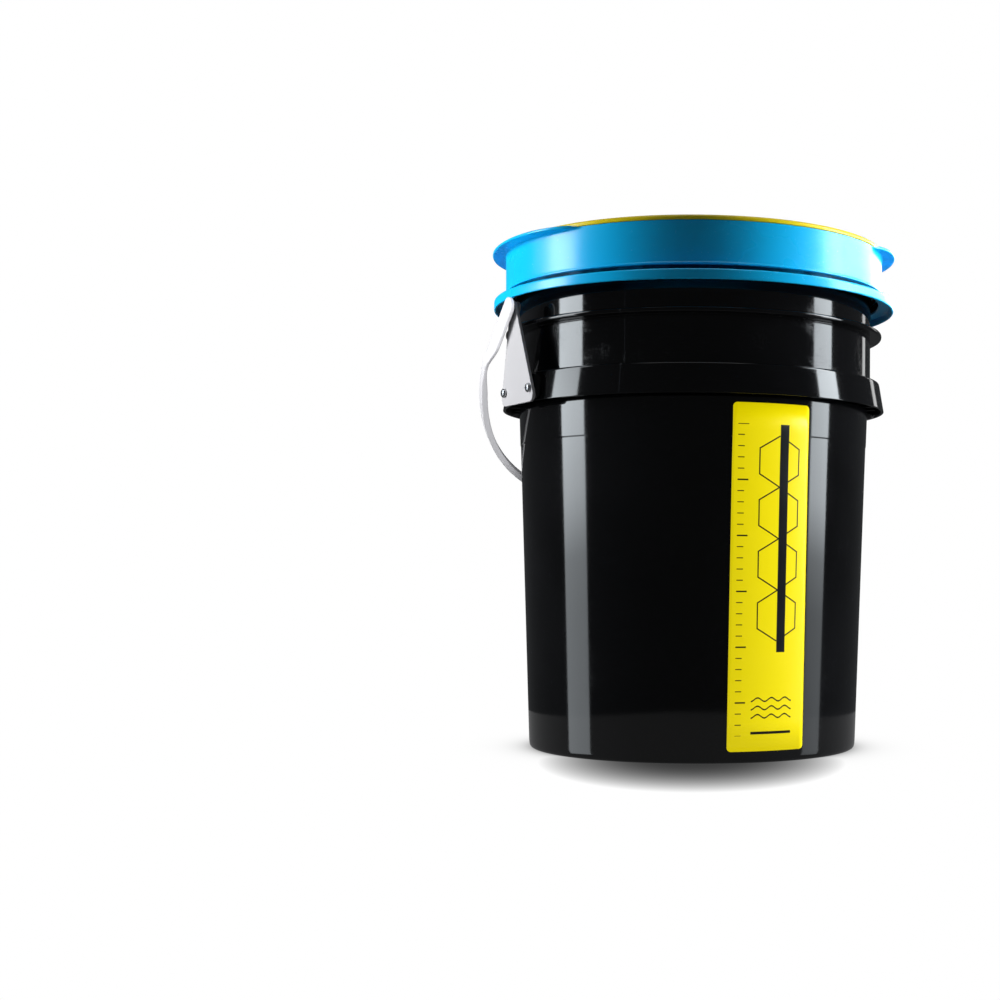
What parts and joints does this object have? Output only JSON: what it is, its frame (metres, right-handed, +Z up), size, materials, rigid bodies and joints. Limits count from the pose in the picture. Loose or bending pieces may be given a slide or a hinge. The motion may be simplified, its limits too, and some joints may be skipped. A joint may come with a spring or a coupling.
{
  "type": "wash bucket",
  "caption": "Pail with a splash guard and ring on its rim, a spring-loaded domed wash plate on a water pump inside, and a swinging carrying bail.",
  "frame": {"origin": "middle of the pail's underside, on its flat centre pad", "axes": "+Z up along the pail's axis; -Y is the front, with the label to the right of it; +X to the right"},
  "size_m": [0.3277, 0.3165, 0.3911],
  "materials": {
    "black_plastic": "glossy moulded HDPE",
    "blue_plastic": "glossy moulded plastic",
    "yellow_plastic": "satin moulded plastic",
    "label_film": "printed self-adhesive film",
    "white_plastic": "satin moulded plastic",
    "grey_plastic": "moulded acetal",
    "rubber": "matt",
    "zinc_steel": "zinc plated",
    "spring_steel": "drawn wire"
  },
  "bodies": {
    "bucket": {"bucket_shell": "black_plastic", "label": "label_film", "handle_ear_left": "white_plastic", "handle_ear_right": "white_plastic", "ear_screw_left_front": "zinc_steel", "ear_screw_left_rear": "zinc_steel", "ear_screw_right_front": "zinc_steel", "ear_screw_right_rear": "zinc_steel", "handle_pivot_left": "white_plastic", "handle_pivot_right": "white_plastic", "pump_cylinder": "grey_plastic", "cylinder_cap": "black_plastic", "cap_seal": "rubber", "inlet_strainer": "zinc_steel", "pump_base": "black_plastic", "base_screw_1": "zinc_steel", "base_screw_2": "zinc_steel", "base_screw_3": "zinc_steel", "base_screw_4": "zinc_steel"},
    "handle": {"handle_bail": "white_plastic"},
    "guard": {"splash_guard": "blue_plastic", "inner_baffle": "blue_plastic", "rim_gasket": "rubber", "splash_ring": "yellow_plastic", "ring_screw_1": "zinc_steel", "ring_screw_2": "zinc_steel", "ring_screw_3": "zinc_steel", "ring_screw_4": "zinc_steel", "ring_screw_5": "zinc_steel", "ring_screw_6": "zinc_steel"},
    "plunger": {"wash_plate": "blue_plastic", "dispenser_cap": "blue_plastic", "dispenser_seal": "rubber", "plunger_tube": "grey_plastic", "piston": "grey_plastic", "piston_seal": "rubber", "spring_seat": "zinc_steel", "return_spring": "spring_steel", "stop_ring": "grey_plastic"},
    "inlet_check": {"inlet_valve": "white_plastic"},
    "outlet_check": {"outlet_valve": "white_plastic"}
  },
  "joints": [
    {"name": "handle_swing", "type": "hinge", "parent": "bucket", "child": "handle", "pos_m": [0, 0, 0.3344], "axis": [0.8526, 0.5225, 0], "range_deg": [0, 268]},
    {"name": "guard_lift", "type": "slide", "parent": "bucket", "child": "guard", "axis": [0, 0, 1], "range_m": [0, 0.09]},
    {"name": "pump_stroke", "type": "slide", "parent": "bucket", "child": "plunger", "axis": [0, 0, 1], "range_m": [-0.026, 0], "stiffness_N_per_m": 1200, "springref_m": 0.02, "deforming": ["return_spring"]},
    {"name": "inlet_valve_lift", "type": "slide", "parent": "bucket", "child": "inlet_check", "axis": [0, 0, 1], "range_m": [0, 0.003]},
    {"name": "outlet_valve_lift", "type": "slide", "parent": "plunger", "child": "outlet_check", "axis": [0, 0, 1], "range_m": [0, 0.003]}
  ]
}
